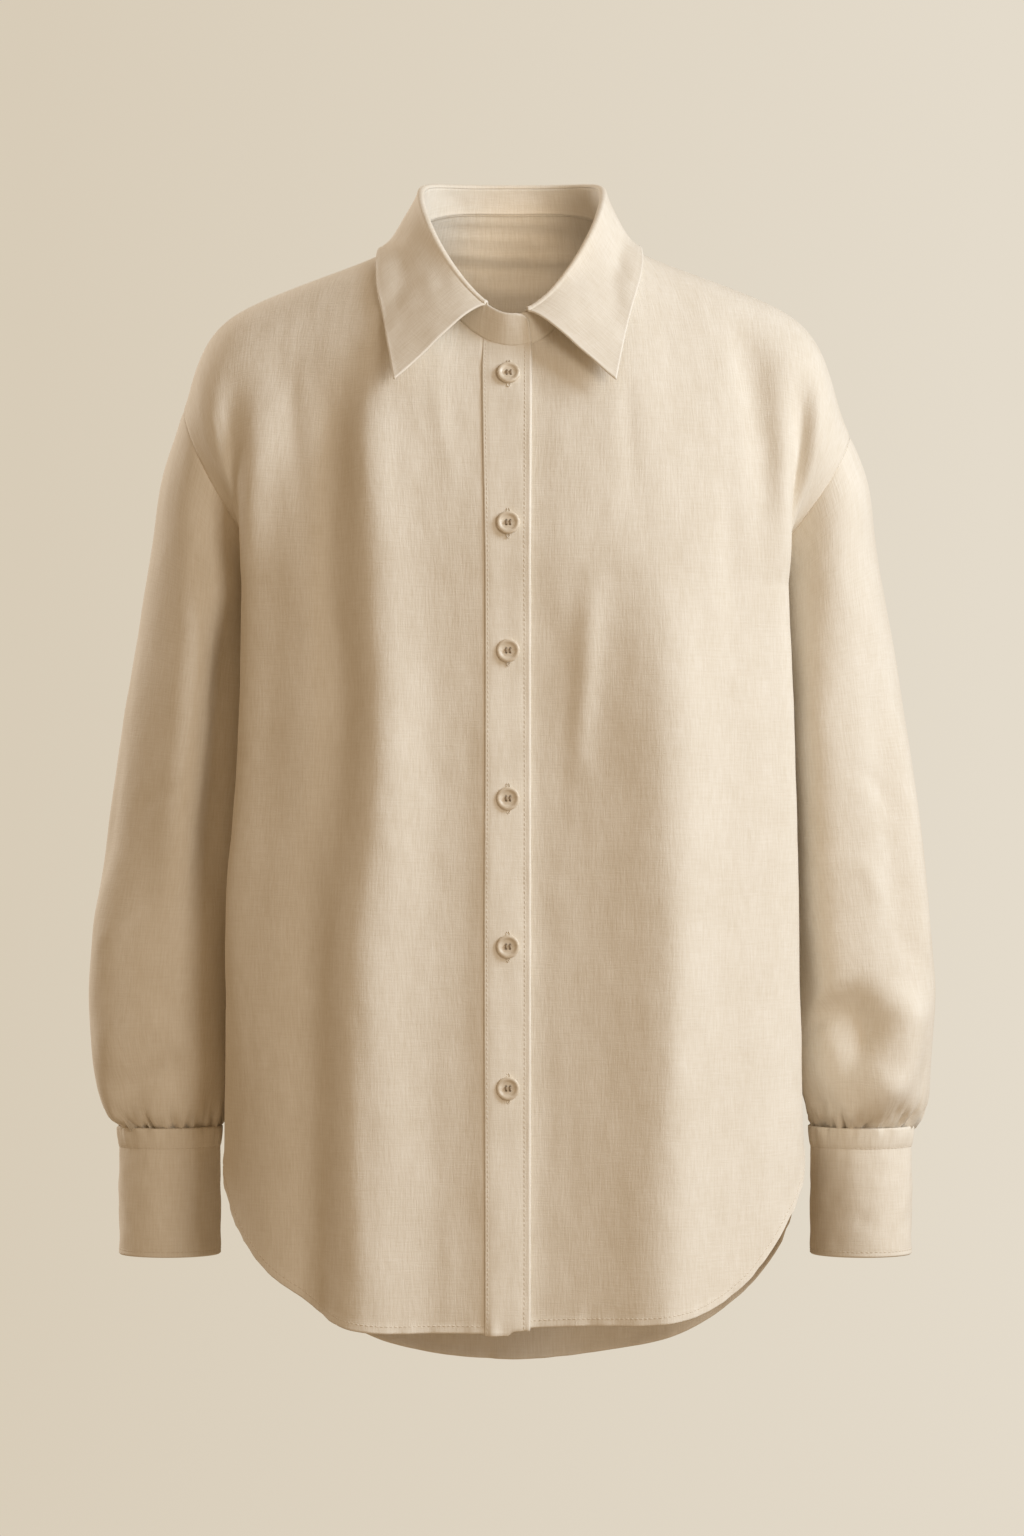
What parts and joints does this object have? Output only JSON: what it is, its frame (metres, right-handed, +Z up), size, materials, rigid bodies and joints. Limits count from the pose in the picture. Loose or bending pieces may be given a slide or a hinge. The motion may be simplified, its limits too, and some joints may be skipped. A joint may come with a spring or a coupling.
{
  "type": "oversized linen shirt",
  "caption": "Oversized long-sleeved linen shirt with a pointed collar, button placket, dropped shoulders, deep cuffs and curved tails, filled out and hollow.",
  "frame": {"origin": "the middle of the neck hole at the height of the shoulder line beside the neck, where a wearer's neck and shoulders carry the shirt", "axes": "+Z up along the wearer's back, +Y towards the wearer's back, +X towards the wearer's left arm"},
  "size_m": [0.5955, 0.2679, 0.841],
  "materials": {
    "linen": "plain-woven linen, matt, with soft slubs",
    "button_shell": "satin, shell-like"
  },
  "bodies": {
    "root": {"front_right": "linen", "front_left": "linen", "placket": "linen", "back": "linen", "sleeve_right": "linen", "sleeve_left": "linen", "collar_stand": "linen", "collar_leaf": "linen", "cuff_right": "linen", "cuff_left": "linen", "button_1": "button_shell", "button_2": "button_shell", "button_3": "button_shell", "button_4": "button_shell", "button_5": "button_shell", "button_6": "button_shell", "cuff_button_right": "button_shell", "cuff_button_left": "button_shell"}
  },
  "joints": []
}
